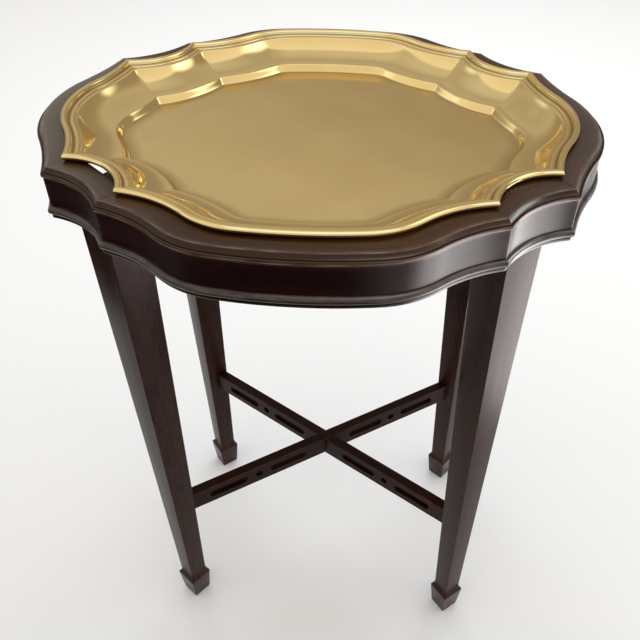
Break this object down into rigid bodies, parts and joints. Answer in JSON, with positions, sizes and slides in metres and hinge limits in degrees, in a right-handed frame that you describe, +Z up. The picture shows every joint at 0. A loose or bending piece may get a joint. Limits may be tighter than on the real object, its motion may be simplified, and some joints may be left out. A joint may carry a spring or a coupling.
{
  "type": "tray top tea table",
  "caption": "Tea table with a shaped, bowed top, a lift-out brass tray, moulded frieze, square tapered legs on spade feet and a crossed, pierced stretcher.",
  "frame": {"origin": "on the floor, under the middle of the table", "axes": "+Z up, +X to the right along the table's longer side, -Y to the front"},
  "size_m": [0.4932, 0.42, 0.6262],
  "materials": {
    "mahogany": "dark polished mahogany, satin",
    "brass": "polished, lightly worn",
    "dowel": "plain beech",
    "steel": "plain steel"
  },
  "bodies": {
    "stand": {"top_rail_front": "mahogany", "top_rail_back": "mahogany", "top_rail_left": "mahogany", "top_rail_right": "mahogany", "top_corner_front_left": "mahogany", "top_corner_front_right": "mahogany", "top_corner_back_left": "mahogany", "top_corner_back_right": "mahogany", "frieze_rail_front": "mahogany", "frieze_rail_back": "mahogany", "frieze_rail_left": "mahogany", "frieze_rail_right": "mahogany", "frieze_corner_front_left": "mahogany", "frieze_corner_front_right": "mahogany", "frieze_corner_back_left": "mahogany", "frieze_corner_back_right": "mahogany", "bead_rail_front": "mahogany", "bead_rail_back": "mahogany", "bead_rail_left": "mahogany", "bead_rail_right": "mahogany", "bead_corner_front_left": "mahogany", "bead_corner_front_right": "mahogany", "bead_corner_back_left": "mahogany", "bead_corner_back_right": "mahogany", "leg_front_left": "mahogany", "leg_front_right": "mahogany", "leg_back_left": "mahogany", "leg_back_right": "mahogany", "stretcher_bar_over": "mahogany", "stretcher_bar_under": "mahogany", "mitre_dowels": "dowel", "leg_dowels": "dowel", "top_screws": "steel", "stretcher_screw": "steel"},
    "tray": {"tray_pan": "brass", "tray_border": "brass"}
  },
  "joints": [
    {"name": "tray_lift", "type": "slide", "parent": "stand", "child": "tray", "axis": [0, 0, 1], "range_m": [0, 0.15]}
  ]
}
